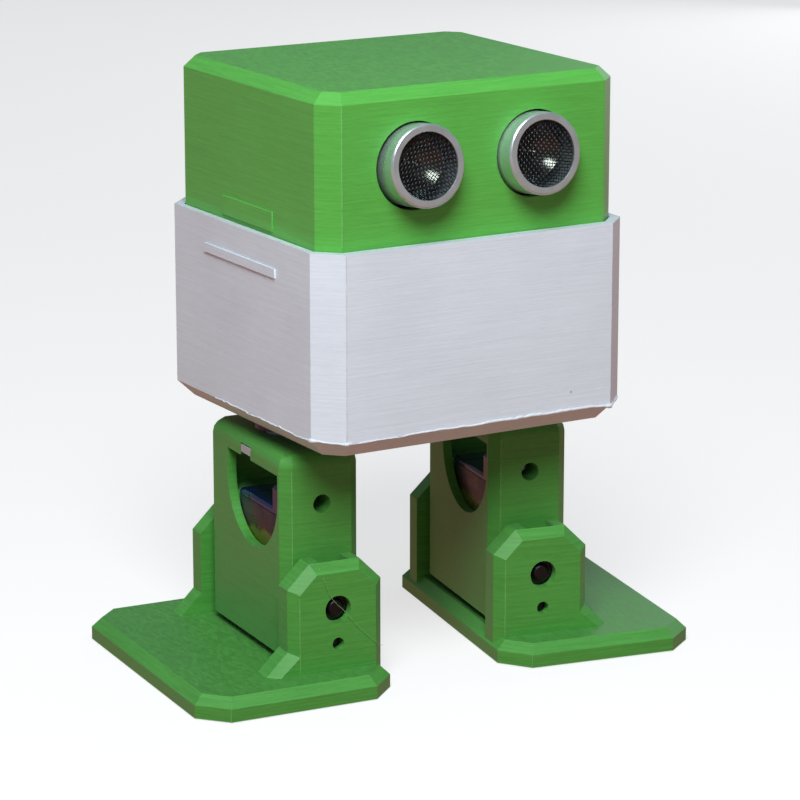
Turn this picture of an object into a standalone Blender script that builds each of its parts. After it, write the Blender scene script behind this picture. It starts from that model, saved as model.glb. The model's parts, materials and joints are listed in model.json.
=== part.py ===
"""Two-legged walking robot kit: a head with two sensor eyes on a body box, two servo legs and two feet.

Metres, +Z up. The floor is z = 0, the robot faces -Y, and its own right side is at -X.
"""
import math

import bmesh
import bpy
from mathutils import Matrix, Vector

MM = 0.001
GAP = 0.3 * MM                      # clearance between neighbouring pieces

# Body box
BODY_HALF_X = 34.8 * MM
BODY_HALF_Y = 33.0 * MM
BODY_BOTTOM = 49.1 * MM
BODY_RIM = 88.7 * MM
BODY_CORNER = 5.0 * MM
BODY_BOTTOM_CHAMFER = 3.2 * MM
BODY_INNER_CHAMFER = 1.5 * MM      # bottom edge of the inside, where the wall meets the floor
BODY_FLOOR = 2.4 * MM
RIDGE_HALF_LENGTH = 14.5 * MM       # raised bar outside the snap groove
RIDGE_LOW = 81.4 * MM
RIDGE_HIGH = 83.2 * MM
RIDGE_PROUD = 0.35 * MM

# Head
HEAD_HALF_X = 33.0 * MM
HEAD_HALF_Y = 30.4 * MM
HEAD_TOP = 118.6 * MM
HEAD_SKIRT = 80.6 * MM              # lower edge of the skirt inside the body box
HEAD_CORNER = 3.8 * MM
HEAD_TOP_CHAMFER = 2.2 * MM
HEAD_WALL = 2.0 * MM
TAB_HALF_LENGTH = 10.3 * MM         # raised bar on each side of the head, above the rim
TAB_LOW = 89.5 * MM
TAB_HIGH = 93.3 * MM
TAB_PROUD = 0.3 * MM
LEDGE_X = 25.2 * MM
LEDGE_Y = (19.5 * MM, 26.5 * MM)
LEDGE_TOP = 90.5 * MM
LEDGE_SCREW = (27.0 * MM, 22.8 * MM)

# Distance sensor: a standard board with two 16 mm cans 26 mm apart
EYE_X = 13.0 * MM
EYE_Z = 103.7 * MM
EYE_TILT = -6.0                     # degrees about X: the sensor sits loose in its holes and looks up a little
EYE_HOLE_X = (-13.3 * MM, 13.2 * MM)
EYE_HOLE_R = 8.5 * MM
CAN_R = 8.0 * MM
CAN_LENGTH = 12.0 * MM
CAN_WALL = 0.7 * MM
CAN_MOUTH_R = 6.45 * MM
EYE_FRONT = -34.8 * MM
SENSOR_BOARD = (45.0 * MM, 1.6 * MM, 20.0 * MM)

# Electronics and power
SHIELD = (57.0 * MM, 50.0 * MM, 1.6 * MM)
SHIELD_LOW = LEDGE_TOP + GAP
CONTROLLER = (18.0 * MM, 45.0 * MM, 1.6 * MM)
SOCKET_HEIGHT = 8.5 * MM
BATTERY = (53.0 * MM, 34.0 * MM, 12.0 * MM)
BATTERY_LOW = 76.0 * MM
SWITCH_Z = 66.0 * MM
SWITCH_TRAVEL = 3.0 * MM

# Micro servo, in its own frame: the shaft turns about local Z and the case runs along local -X
SERVO_NEAR = 5.9 * MM               # from the shaft to the near end of the case
SERVO_FAR = -16.9 * MM
SERVO_HALF_WIDTH = 6.1 * MM
SERVO_DEPTH = 22.7 * MM
SERVO_SEAMS = (-18.2 * MM, -3.6 * MM)
FLANGE_NEAR = 10.6 * MM
FLANGE_FAR = -21.6 * MM
FLANGE_LOW = -6.8 * MM
FLANGE_HIGH = -4.3 * MM
FLANGE_HOLES = (8.4 * MM, -19.4 * MM)
BOSS_R = 5.8 * MM
BOSS_SMALL_R = 2.8 * MM
BOSS_SMALL_X = -5.9 * MM
BOSS_HEIGHT = 4.0 * MM
BOSS_SMALL_HEIGHT = 2.2 * MM
SHAFT_R = 2.4 * MM
SHAFT_LENGTH = 3.1 * MM
HORN_HUB_R = 3.5 * MM
HORN_ARM = 1.5 * MM

# Hips: one vertical axis each, with the legs as they stand
HIPS = {"right": (-25.3 * MM, 0.6 * MM, -4.1), "left": (23.6 * MM, -0.6 * MM, -9.6)}
HIP_SERVO_FACE = BODY_BOTTOM + BODY_FLOOR + GAP

STANCE_SHIFT = (-0.25 * MM, 1.04 * MM)  # puts the origin midway between the outermost points of the feet

# Leg, in the leg's own frame: hip axis at x = y = 0, floor at z = 0
LEG_HALF_X = 8.3 * MM
LEG_HALF_Y = 18.0 * MM
LEG_BOTTOM = 6.0 * MM
LEG_TOP = 46.7 * MM
LEG_CORNER = 2.0 * MM
LEG_TOP_ROUND = 3.0 * MM
LEG_TOP_STEPS = 4                   # flats that make up the rounded top edge
LEG_WALL = 1.9 * MM
LEG_CAVITY_TOP = 42.3 * MM
LEG_CAVITY_BACK = 14.0 * MM
WINDOW_R = 12.0 * MM
WINDOW_Y = -3.3 * MM
WINDOW_Z = 37.0 * MM
HORN_SLOT_TOP = 44.7 * MM
HORN_SLOT_HALF = 2.5 * MM
ANKLE_Z = 16.9 * MM
ANKLE_SERVO_FACE = -14.9 * MM
ACCESS_R = 1.85 * MM

# Foot, in the right foot's own frame: the plate reaches outwards along -X
PLATE_OUTER = -31.1 * MM
PLATE_INNER = 10.4 * MM
PLATE_HALF_Y = 32.2 * MM
PLATE_TOP = 4.5 * MM
PLATE_CORNER = 5.4 * MM
PLATE_CHAMFER = 1.9 * MM
EAR_HALF_X = 10.0 * MM
EAR_OUTER = 25.2 * MM
EAR_INNER = 19.2 * MM
EAR_TOP = 26.2 * MM
EAR_CUT = 4.7 * MM
EAR_CHAMFER = 1.9 * MM
EAR_FLARE = 4.5 * MM
EAR_SLOT_HALF = 3.1 * MM
EAR_SLOT_BACK = 23.3 * MM
EAR_SLOT_LOW = 7.4 * MM
EAR_HOLE_R = 2.75 * MM
EAR_SMALL_HOLE_R = 1.25 * MM
EAR_SMALL_HOLE_Z = 9.9 * MM
GROOVE_R = 13.95 * MM
PIVOT_R = 1.5 * MM
PIVOT_HEAD_R = 2.7 * MM

FINISHES = {
    "green": ((0.05, 0.42, 0.05), 0.55, 0.0),
    "white": ((0.72, 0.74, 0.80), 0.60, 0.0),
    "can": ((0.78, 0.78, 0.80), 0.30, 1.0),
    "mesh": ((0.03, 0.03, 0.035), 0.45, 0.6),
    "steel": ((0.55, 0.55, 0.56), 0.35, 1.0),
    "blue_case": ((0.01, 0.03, 0.22), 0.25, 0.0),
    "nylon": ((0.85, 0.82, 0.80), 0.45, 0.0),
    "board": ((0.01, 0.06, 0.22), 0.40, 0.0),
    "black": ((0.02, 0.02, 0.02), 0.45, 0.0),
    "brass": ((0.75, 0.55, 0.25), 0.30, 1.0),
    "cell": ((0.10, 0.10, 0.12), 0.35, 0.3),
}


def start_scene():
    """Empty the scene and make one collection for the parts and one for the cutters."""
    for old in list(bpy.data.objects):
        bpy.data.objects.remove(old, do_unlink=True)
    made = []
    for name in ("walking_robot", "cutters"):
        collection = bpy.data.collections.new(name)
        bpy.context.scene.collection.children.link(collection)
        made.append(collection)
    stance = bpy.data.objects.new("stance", None)
    stance.location = (*STANCE_SHIFT, 0)
    made[0].objects.link(stance)
    return (*made, stance)


PARTS, CUTTERS, STANCE = start_scene()


def finish(name):
    """One Principled material for each finish."""
    if name in bpy.data.materials:
        return bpy.data.materials[name]
    colour, roughness, metallic = FINISHES[name]
    mat = bpy.data.materials.new(name)
    mat.use_nodes = True
    shader = mat.node_tree.nodes["Principled BSDF"]
    shader.inputs["Base Color"].default_value = (*colour, 1.0)
    shader.inputs["Roughness"].default_value = roughness
    shader.inputs["Metallic"].default_value = metallic
    return mat


def add_mesh(name, bm, look, matrix=None, collection=None):
    """Turn a bmesh into an object with its finish and place."""
    bmesh.ops.recalc_face_normals(bm, faces=bm.faces[:])
    mesh = bpy.data.meshes.new(name)
    bm.to_mesh(mesh)
    bm.free()
    mesh.shade_smooth()
    mesh.set_sharp_from_angle(angle=math.radians(35))
    if look:
        mesh.materials.append(finish(look))
    return put(name, mesh, matrix, collection or PARTS)


def put(name, mesh, matrix, collection):
    """Link an object, placed in the stance's frame."""
    obj = bpy.data.objects.new(name, mesh)
    collection.objects.link(obj)
    obj.parent = STANCE
    if matrix is not None:
        obj.matrix_basis = matrix
    return obj


def block(low, high):
    """A box between two corners, as a bmesh."""
    bm = bmesh.new()
    low, high = Vector(low), Vector(high)
    size = high - low
    place = Matrix.Translation((low + high) / 2) @ Matrix.Diagonal((*size, 1.0))
    bmesh.ops.create_cube(bm, size=1.0, matrix=place)
    return bm


def along(axis):
    """Rotation that turns local Z to the named axis."""
    turns = {"z": Matrix.Identity(4), "x": Matrix.Rotation(math.pi / 2, 4, "Y"),
             "y": Matrix.Rotation(-math.pi / 2, 4, "X")}
    return turns[axis]


def rod(radius, centre, low, high, axis="z", sides=24):
    """A cylinder from low to high along an axis, through the centre's other two coordinates."""
    bm = bmesh.new()
    index = "xyz".index(axis)
    middle = Vector(centre)
    middle[index] = (low + high) / 2
    bmesh.ops.create_cone(bm, cap_ends=True, segments=sides, radius1=radius, radius2=radius,
                          depth=high - low, matrix=Matrix.Translation(middle) @ along(axis))
    return bm


def prism(outline, low, high, axis="y"):
    """A flat outline pushed along an axis; the outline gives the other two coordinates."""
    bm = bmesh.new()
    index = "xyz".index(axis)

    def corner(point, level):
        place = list(point)
        place.insert(index, level)
        return bm.verts.new(place)

    face = bm.faces.new([corner(point, low) for point in outline])
    pushed = bmesh.ops.extrude_face_region(bm, geom=[face])
    move = Vector((0, 0, 0))
    move[index] = high - low
    verts = [item for item in pushed["geom"] if isinstance(item, bmesh.types.BMVert)]
    bmesh.ops.translate(bm, verts=verts, vec=move)
    bmesh.ops.recalc_face_normals(bm, faces=bm.faces[:])
    return bm


def chamfer(bm, width, chosen, steps=1):
    """Cut a flat chamfer along the edges whose two ends pass the test, or round them in several steps."""
    edges = [edge for edge in bm.edges if chosen(edge.verts[0].co, edge.verts[1].co)]
    bmesh.ops.bevel(bm, geom=edges, offset=width, offset_type="OFFSET", segments=steps, profile=0.5,
                    affect="EDGES", clamp_overlap=False)
    return bm


def upright(a, b):
    """True for an edge that runs straight up."""
    return abs(a.x - b.x) < 1e-6 and abs(a.y - b.y) < 1e-6


def at_height(level):
    """A test for edges that lie at one height."""
    return lambda a, b: abs(a.z - level) < 1e-6 and abs(b.z - level) < 1e-6


def combine(obj, shapes, operation):
    """Cut shapes out of an object, or add them to it, one Boolean for each."""
    for bm in shapes:
        cutter = add_mesh(f"{obj.name}_cutter", bm, None, obj.matrix_basis, CUTTERS)
        cutter.hide_render = True
        cutter.display_type = "WIRE"
        modifier = obj.modifiers.new(operation.lower(), "BOOLEAN")
        modifier.operation = operation
        modifier.solver = "EXACT"
        modifier.object = cutter


def cut(obj, shapes):
    combine(obj, shapes, "DIFFERENCE")


def add(obj, shapes):
    combine(obj, shapes, "UNION")


def turned(name, profile, look, matrix, steps=32):
    """A turned piece about local Z from (radius, height) points, outer side first, going down."""
    bm = bmesh.new()
    verts = [bm.verts.new((radius, 0, height)) for radius, height in profile]
    closed = profile[0][0] > 1e-6 or profile[-1][0] > 1e-6
    for a, b in zip(verts, verts[1:] + ([verts[0]] if closed else [])):
        bm.edges.new((a, b))
    mesh = bpy.data.meshes.new(name)
    bm.to_mesh(mesh)
    bm.free()
    mesh.materials.append(finish(look))
    obj = put(name, mesh, matrix, PARTS)
    screw = obj.modifiers.new("turn", "SCREW")
    screw.axis = "Z"
    screw.steps = screw.render_steps = steps
    screw.use_merge_vertices = True
    screw.merge_threshold = 0.00001
    screw.use_smooth_shade = True
    return obj


def screw_profile(head_r, head_h, shank_r, length):
    """A screw with its head's underside at z = 0 and its shank going down."""
    return [(0, head_h), (head_r * 0.7, head_h), (head_r, head_h * 0.55), (head_r, 0), (shank_r, 0),
            (shank_r, -length + shank_r), (0, -length)]


def place(x, y, z, axis="z", flip=False):
    """Matrix that stands local Z along an axis at a point, or against it when flipped."""
    turn = along(axis)
    if flip:
        turn = turn @ Matrix.Rotation(math.pi, 4, "X")
    return Matrix.Translation((x, y, z)) @ turn


def octagon_box(half_x, half_y, low, high, corner):
    """A box whose upright edges are chamfered."""
    return chamfer(block((-half_x, -half_y, low), (half_x, half_y, high)), corner, upright)


# ---------------------------------------------------------------- head

def head_shell():
    outer = octagon_box(HEAD_HALF_X, HEAD_HALF_Y, HEAD_SKIRT, HEAD_TOP, HEAD_CORNER)
    chamfer(outer, HEAD_TOP_CHAMFER, at_height(HEAD_TOP))
    shell = add_mesh("head_shell", outer, "green")
    inner_x, inner_y = HEAD_HALF_X - HEAD_WALL, HEAD_HALF_Y - HEAD_WALL
    cut(shell, [octagon_box(inner_x, inner_y, HEAD_SKIRT - HEAD_WALL, HEAD_TOP - HEAD_WALL, HEAD_CORNER)])
    for side in (-1, 1):
        face = side * HEAD_HALF_X
        x_low, x_high = sorted((face - side * HEAD_WALL / 2, face + side * TAB_PROUD))
        add(shell, [block((x_low, -TAB_HALF_LENGTH, TAB_LOW), (x_high, TAB_HALF_LENGTH, TAB_HIGH))])
        for end in (-1, 1):
            x_low, x_high = sorted((side * LEDGE_X, side * (HEAD_HALF_X - HEAD_WALL / 2)))
            y_low, y_high = sorted((end * LEDGE_Y[0], end * LEDGE_Y[1]))
            add(shell, [block((x_low, y_low, LEDGE_TOP - 5 * MM), (x_high, y_high, LEDGE_TOP))])
            cut(shell, [rod(0.9 * MM, (side * LEDGE_SCREW[0], end * LEDGE_SCREW[1], 0), LEDGE_TOP - 4 * MM,
                            LEDGE_TOP + GAP, sides=12)])
    for hole_x in EYE_HOLE_X:
        cut(shell, [rod(EYE_HOLE_R, (hole_x, 0, EYE_Z), -HEAD_HALF_Y - MM,
                        -HEAD_HALF_Y + HEAD_WALL + MM, "y", 48)])
    usb_z = SHIELD_LOW + SHIELD[2] + SOCKET_HEIGHT + CONTROLLER[2] + 3 * GAP
    cut(shell, [block((-5.5 * MM, inner_y - MM, usb_z - 1.5 * MM),
                      (5.5 * MM, HEAD_HALF_Y + MM, usb_z + 5.5 * MM))])


def sensor():
    back = EYE_FRONT + CAN_LENGTH
    low = EYE_Z - SENSOR_BOARD[2] / 2
    board_y = back + GAP
    pivot = Vector((0, -HEAD_HALF_Y + HEAD_WALL / 2, EYE_Z))
    tilt = (Matrix.Translation(pivot) @ Matrix.Rotation(math.radians(EYE_TILT), 4, "X")
            @ Matrix.Translation(-pivot))
    add_mesh("sensor_board", block((-SENSOR_BOARD[0] / 2, board_y, low),
                                   (SENSOR_BOARD[0] / 2, board_y + SENSOR_BOARD[1], low + SENSOR_BOARD[2])),
             "board", tilt)
    for side, sign in (("right", -1), ("left", 1)):
        spot = tilt @ place(sign * EYE_X, EYE_FRONT, EYE_Z, "y", True)
        can = [(CAN_R - 0.35 * MM, 0), (CAN_R, -0.35 * MM), (CAN_R, -CAN_LENGTH), (0, -CAN_LENGTH),
               (0, -CAN_LENGTH + CAN_WALL), (CAN_R - CAN_WALL, -CAN_LENGTH + CAN_WALL),
               (CAN_R - CAN_WALL, -CAN_WALL), (CAN_MOUTH_R, -CAN_WALL), (CAN_MOUTH_R, 0)]
        turned(f"sensor_can_{side}", cup(can), "can", spot, 36)
        turned(f"sensor_mesh_{side}", [(0, -0.9 * MM), (7.0 * MM, -1.0 * MM), (7.0 * MM, -1.3 * MM),
                                       (0, -1.2 * MM)], "mesh", spot, 24)
        turned(f"sensor_cone_{side}", [(0, -4.6 * MM), (1.6 * MM, -4.2 * MM), (4.6 * MM, -2.8 * MM),
                                       (4.9 * MM, -3.1 * MM), (2.2 * MM, -6.4 * MM), (5.6 * MM, -7.4 * MM),
                                       (5.6 * MM, -10.9 * MM), (0, -10.9 * MM)], "steel", spot, 24)
    header = block((-5.1 * MM, board_y + SENSOR_BOARD[1] + GAP, low + 0.8 * MM),
                   (5.1 * MM, board_y + SENSOR_BOARD[1] + GAP + 2.5 * MM, low + 3.3 * MM))
    strip = add_mesh("sensor_header", header, "black", tilt)
    for index in range(4):
        x = (index - 1.5) * 2.54 * MM
        add(strip, [block((x - 0.32 * MM, board_y + 4.2 * MM, low + 1.7 * MM),
                          (x + 0.32 * MM, board_y + 10 * MM, low + 2.34 * MM))])


def cup(points):
    """Order a cup's profile so that it starts and ends on the axis."""
    floor = points.index((0, -CAN_LENGTH))
    return points[floor + 1:] + points[:floor + 1]


def electronics():
    top = SHIELD_LOW + SHIELD[2]
    shield = add_mesh("io_shield", block((-SHIELD[0] / 2, -SHIELD[1] / 2, SHIELD_LOW),
                                         (SHIELD[0] / 2, SHIELD[1] / 2, top)), "board")
    for x in (-LEDGE_SCREW[0], LEDGE_SCREW[0]):
        for y in (-LEDGE_SCREW[1], LEDGE_SCREW[1]):
            cut(shield, [rod(1.15 * MM, (x, y, 0), SHIELD_LOW - MM, top + MM, sides=16)])
    for side, x in (("right", -7.6 * MM), ("left", 7.6 * MM)):
        add_mesh(f"board_socket_{side}", block((x - 1.25 * MM, -17.5 * MM, top + GAP),
                                               (x + 1.25 * MM, 20.5 * MM, top + SOCKET_HEIGHT)), "black")
    add_mesh("buzzer", rod(6 * MM, (19 * MM, 8 * MM, 0), top + GAP, top + 8.8 * MM), "black")
    controller(top + SOCKET_HEIGHT + GAP)


def controller(low):
    """The controller board with its chip and reset switch, the USB socket and the reset button."""
    top = low + CONTROLLER[2]
    back = -18.2 * MM + CONTROLLER[1]
    reset_y = 7.5 * MM
    board = add_mesh("controller_board", block((-CONTROLLER[0] / 2, back - CONTROLLER[1], low),
                                               (CONTROLLER[0] / 2, back, top)), "board")
    sunk = top - 0.2 * MM
    add(board, [block((-3.5 * MM, -6 * MM, sunk), (3.5 * MM, 1 * MM, top + 1.1 * MM)),
                block((-1.7 * MM, reset_y - 1.7 * MM, sunk), (1.7 * MM, reset_y + 1.7 * MM, top + 1.7 * MM))])
    cut(board, [rod(1.1 * MM, (0, reset_y, 0), top + 0.4 * MM, top + 3 * MM, sides=16)])
    add_mesh("reset_button", rod(0.8 * MM, (0, reset_y, 0), top + 1.0 * MM, top + 2.4 * MM, sides=16), "black")
    socket = add_mesh("usb_socket", block((-4 * MM, back - 8 * MM, top + GAP),
                                          (4 * MM, back + 1.2 * MM, top + 4.2 * MM)), "steel")
    cut(socket, [block((-3.4 * MM, back - 5 * MM, top + 0.9 * MM), (3.4 * MM, back + 2 * MM, top + 3.6 * MM))])


# ---------------------------------------------------------------- body box

def body_shell():
    outer = octagon_box(BODY_HALF_X, BODY_HALF_Y, BODY_BOTTOM, BODY_RIM, BODY_CORNER)
    chamfer(outer, BODY_BOTTOM_CHAMFER, at_height(BODY_BOTTOM))
    shell = add_mesh("body_shell", outer, "white")
    inner_x, inner_y = HEAD_HALF_X + GAP, HEAD_HALF_Y + GAP
    floor = BODY_BOTTOM + BODY_FLOOR
    inside = octagon_box(inner_x, inner_y, floor, BODY_RIM + MM, HEAD_CORNER + 0.1 * MM)
    cut(shell, [chamfer(inside, BODY_INNER_CHAMFER, at_height(floor))])
    for side in (-1, 1):
        face = side * BODY_HALF_X
        x_low, x_high = sorted((face - side * 0.7 * MM, face + side * RIDGE_PROUD))
        add(shell, [block((x_low, -RIDGE_HALF_LENGTH, RIDGE_LOW), (x_high, RIDGE_HALF_LENGTH, RIDGE_HIGH))])
    flange = HIP_SERVO_FACE - FLANGE_HIGH
    for x, y, _ in HIPS.values():
        for near, far in ((-FLANGE_NEAR, -SERVO_NEAR - GAP), (-SERVO_FAR + GAP, -FLANGE_FAR)):
            add(shell, [block((x - SERVO_HALF_WIDTH, y + near, BODY_BOTTOM + BODY_FLOOR / 2),
                              (x + SERVO_HALF_WIDTH, y + far, flange - GAP))])
        for hole in FLANGE_HOLES:
            cut(shell, [rod(1.0 * MM, (x, y - hole, 0), flange - 5 * MM, flange + MM, sides=12)])
        cut(shell, [rod(BOSS_R + GAP, (x, y, 0), BODY_BOTTOM - MM, HIP_SERVO_FACE + MM),
                    rod(BOSS_SMALL_R + GAP, (x, y - BOSS_SMALL_X, 0), BODY_BOTTOM - MM, HIP_SERVO_FACE + MM)])
    cut(shell, [block((-3.4 * MM, inner_y - MM, SWITCH_Z - 1.6 * MM),
                      (3.4 * MM, BODY_HALF_Y + MM, SWITCH_Z + 1.6 * MM))])
    for sign in (-1, 1):
        rail = block((sign * 7.5 * MM - MM, 26.5 * MM, SWITCH_Z - 3 * MM),
                     (sign * 7.5 * MM + MM, inner_y + MM, SWITCH_Z + 3 * MM))
        add(shell, [rail])
    for sign in (-1, 1):
        for end in (-1, 1):
            x_low, x_high = sorted((sign * 26.8 * MM, sign * (inner_x + 0.5 * MM)))
            y_low, y_high = sorted((end * 25.2 * MM, end * 26.8 * MM))
            post = block((x_low, y_low, BODY_BOTTOM + BODY_BOTTOM_CHAMFER + 0.6 * MM),
                         (x_high, y_high, BATTERY_LOW - 0.7 * MM))
            add(shell, [post])


def power():
    low = Vector((-BATTERY[0] / 2, -BATTERY[1] / 2, BATTERY_LOW))
    high = low + Vector(BATTERY)
    tray = add_mesh("battery_holder", block(low, high), "black")
    wall = 1.6 * MM
    cut(tray, [block(low + Vector((wall, wall, wall)), high + Vector((-wall, -wall, MM)))])
    room = wall + GAP
    pack = block(low + Vector((room, room, room)), high + Vector((-room, -room, -0.5 * MM)))
    add_mesh("battery_pack", chamfer(pack, 2.5 * MM, upright), "cell")
    inner = HEAD_HALF_Y + GAP
    housing = add_mesh("switch_housing", block((-5.8 * MM, inner - 6.5 * MM, SWITCH_Z - 2.9 * MM),
                                               (5.8 * MM, inner - GAP, SWITCH_Z + 2.9 * MM)), "black")
    cut(housing, [block((-3.4 * MM, inner - 3 * MM, SWITCH_Z - 1.6 * MM),
                        (3.4 * MM, inner + MM, SWITCH_Z + 1.6 * MM))])
    middle = -SWITCH_TRAVEL / 2
    slider = block((middle - 1.5 * MM, inner - 2.6 * MM, SWITCH_Z - 1.2 * MM),
                   (middle + 1.5 * MM, BODY_HALF_Y + 1.2 * MM, SWITCH_Z + 1.2 * MM))
    add_mesh("power_slider", slider, "nylon")


# ---------------------------------------------------------------- servos

def servo(prefix, frame, look="blue_case"):
    """Case, base and gear cover of one micro servo; frame places its shaft and top face."""
    seam_low, seam_high = SERVO_SEAMS
    width = SERVO_HALF_WIDTH

    def slab(low, high, name):
        body = chamfer(block((SERVO_FAR, -width, low), (SERVO_NEAR, width, high)), 0.5 * MM, upright)
        return add_mesh(f"{prefix}_{name}", body, look, frame)

    slab(-SERVO_DEPTH, seam_low - 0.1 * MM, "base")
    case = slab(seam_low + 0.1 * MM, seam_high - 0.1 * MM, "case")
    add(case, [chamfer(block((FLANGE_FAR, -width, FLANGE_LOW), (FLANGE_NEAR, width, FLANGE_HIGH)), 0.8 * MM,
                       upright)])
    for x in FLANGE_HOLES:
        outside = FLANGE_NEAR if x > 0 else FLANGE_FAR
        x_low, x_high = sorted((x, outside * 1.1))
        cut(case, [rod(1.1 * MM, (x, 0, 0), FLANGE_LOW - MM, FLANGE_HIGH + MM, sides=16),
                   block((x_low, -0.6 * MM, FLANGE_LOW - MM), (x_high, 0.6 * MM, FLANGE_HIGH + MM))])
    cover = slab(seam_high + 0.1 * MM, 0, "gear_cover")
    add(cover, [rod(BOSS_R, (0, 0, 0), -MM, BOSS_HEIGHT),
                rod(BOSS_SMALL_R, (BOSS_SMALL_X, 0, 0), -MM, BOSS_SMALL_HEIGHT, sides=24)])
    cut(cover, [rod(SHAFT_R + GAP, (0, 0, 0), -2.2 * MM, BOSS_HEIGHT + MM, sides=24)])


def output_shaft(name, frame):
    """The servo's splined output shaft, with a pilot hole for the horn's screw."""
    teeth = 16
    ring = []
    for index in range(teeth * 2):
        radius = SHAFT_R - (0.18 * MM if index % 2 else 0)
        angle = math.pi * index / teeth
        ring.append((radius * math.cos(angle), radius * math.sin(angle)))
    shaft = add_mesh(name, prism(ring, -1.8 * MM, BOSS_HEIGHT + SHAFT_LENGTH, "z"), "brass", frame)
    cut(shaft, [rod(0.95 * MM, (0, 0, 0), 1.5 * MM, BOSS_HEIGHT + SHAFT_LENGTH + MM, sides=12)])


def horn(name, look, frame, arm, hub_low, hub_high, tip_half):
    """A two-armed servo horn; its arms run along local X on the side away from the servo."""
    root_half = 2.4 * MM
    outline = [(arm, -tip_half), (arm, tip_half), (0, root_half),
               (-arm, tip_half), (-arm, -tip_half), (0, -root_half)]
    piece = add_mesh(name, prism(outline, hub_high - HORN_ARM, hub_high, "z"), look, frame)
    add(piece, [rod(HORN_HUB_R, (0, 0, 0), hub_low, hub_high - 0.05 * MM, sides=24)])
    cut(piece, [rod(SHAFT_R + 0.2 * MM, (0, 0, 0), hub_low - MM, BOSS_HEIGHT + SHAFT_LENGTH + GAP, sides=20),
                rod(1.3 * MM, (0, 0, 0), hub_low, hub_high + MM, sides=16)])
    for sign in (-1, 1):
        cut(piece, [rod(0.55 * MM, (sign * 6.5 * MM, 0, 0), hub_low, hub_high + MM, sides=10)])


def flange_screws(prefix, frame, from_front):
    """The two screws that hold a servo by its flange, driven from the shaft side or from behind."""
    way = 1 if from_front else -1
    seat = FLANGE_HIGH + 1.4 * MM if from_front else FLANGE_LOW - GAP
    reach = 5.0 * MM if from_front else 6.0 * MM
    for label, x in zip(("near", "far"), FLANGE_HOLES):
        spot = frame @ Matrix.Translation((x, 0, seat))
        if way < 0:
            spot = spot @ Matrix.Rotation(math.pi, 4, "X")
        profile = screw_profile(1.6 * MM, 1.3 * MM, 0.75 * MM, reach)
        screw = turned(f"{prefix}_{label}", profile, "steel", spot, 12)
        for size in ((1.1 * MM, 0.22 * MM), (0.22 * MM, 1.1 * MM))[:2 if from_front else 1]:
            cut(screw, [block((-size[0], -size[1], 0.8 * MM), (size[0], size[1], 2 * MM))])


# ---------------------------------------------------------------- legs and feet

def leg_shell(side, frame):
    body = octagon_box(LEG_HALF_X, LEG_HALF_Y, LEG_BOTTOM, LEG_TOP, LEG_CORNER)

    chamfer(body, LEG_TOP_ROUND, at_height(LEG_TOP), LEG_TOP_STEPS)
    leg = add_mesh(f"{side}_leg_shell", body, "green", frame)
    wall = -LEG_HALF_X + LEG_WALL
    out = LEG_HALF_X + MM
    face = ANKLE_SERVO_FACE
    servo_top = ANKLE_Z - SERVO_FAR + GAP
    cut(leg, [block((wall, face - GAP, ANKLE_Z - SERVO_NEAR - GAP), (out, face + SERVO_DEPTH + GAP, servo_top)),
              block((wall, face - FLANGE_HIGH - GAP, servo_top - MM), (out, LEG_CAVITY_BACK, LEG_CAVITY_TOP)),
              block((wall, face - GAP, servo_top - MM), (-2.2 * MM, LEG_CAVITY_BACK, LEG_CAVITY_TOP)),
              block((wall, face - FLANGE_HIGH - GAP, LEG_BOTTOM - MM),
                    (out, face - FLANGE_LOW + GAP, ANKLE_Z - FLANGE_FAR + GAP))])
    arc = [(WINDOW_Y + WINDOW_R * math.cos(math.pi + math.pi * step / 16),
            WINDOW_Z + WINDOW_R * math.sin(math.pi + math.pi * step / 16)) for step in range(17)]
    outline = arc + [(WINDOW_Y + WINDOW_R, LEG_CAVITY_TOP - 0.1 * MM),
                     (WINDOW_Y - WINDOW_R, LEG_CAVITY_TOP - 0.1 * MM)]
    cut(leg, [prism(outline, -LEG_HALF_X - MM, wall + MM, "x"),
              block((-LEG_HALF_X - MM, -HORN_SLOT_HALF, LEG_CAVITY_TOP - MM),
                    (out, HORN_SLOT_HALF, HORN_SLOT_TOP)),
              rod(HORN_HUB_R + GAP, (0, 0, 0), LEG_CAVITY_TOP - MM, LEG_TOP + MM),
              rod(BOSS_R + GAP, (0, 0, ANKLE_Z), -LEG_HALF_Y - MM, face + GAP, "y"),
              rod(BOSS_SMALL_R + GAP, (0, 0, ANKLE_Z - BOSS_SMALL_X),
                  face - BOSS_SMALL_HEIGHT - GAP, face + GAP, "y", 24)])
    for hole in FLANGE_HOLES:
        z = ANKLE_Z - hole
        cut(leg, [rod(ACCESS_R, (0, 0, z), -LEG_HALF_Y - MM, face + 3.2 * MM, "y", 24),
                  rod(1.05 * MM, (0, 0, z), face, face + 9 * MM, "y", 12)])
    cut(leg, [rod(PIVOT_R + GAP, (0, 0, ANKLE_Z), LEG_CAVITY_BACK - 6 * MM, LEG_HALF_Y + MM, "y", 24)])
    return leg


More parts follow.
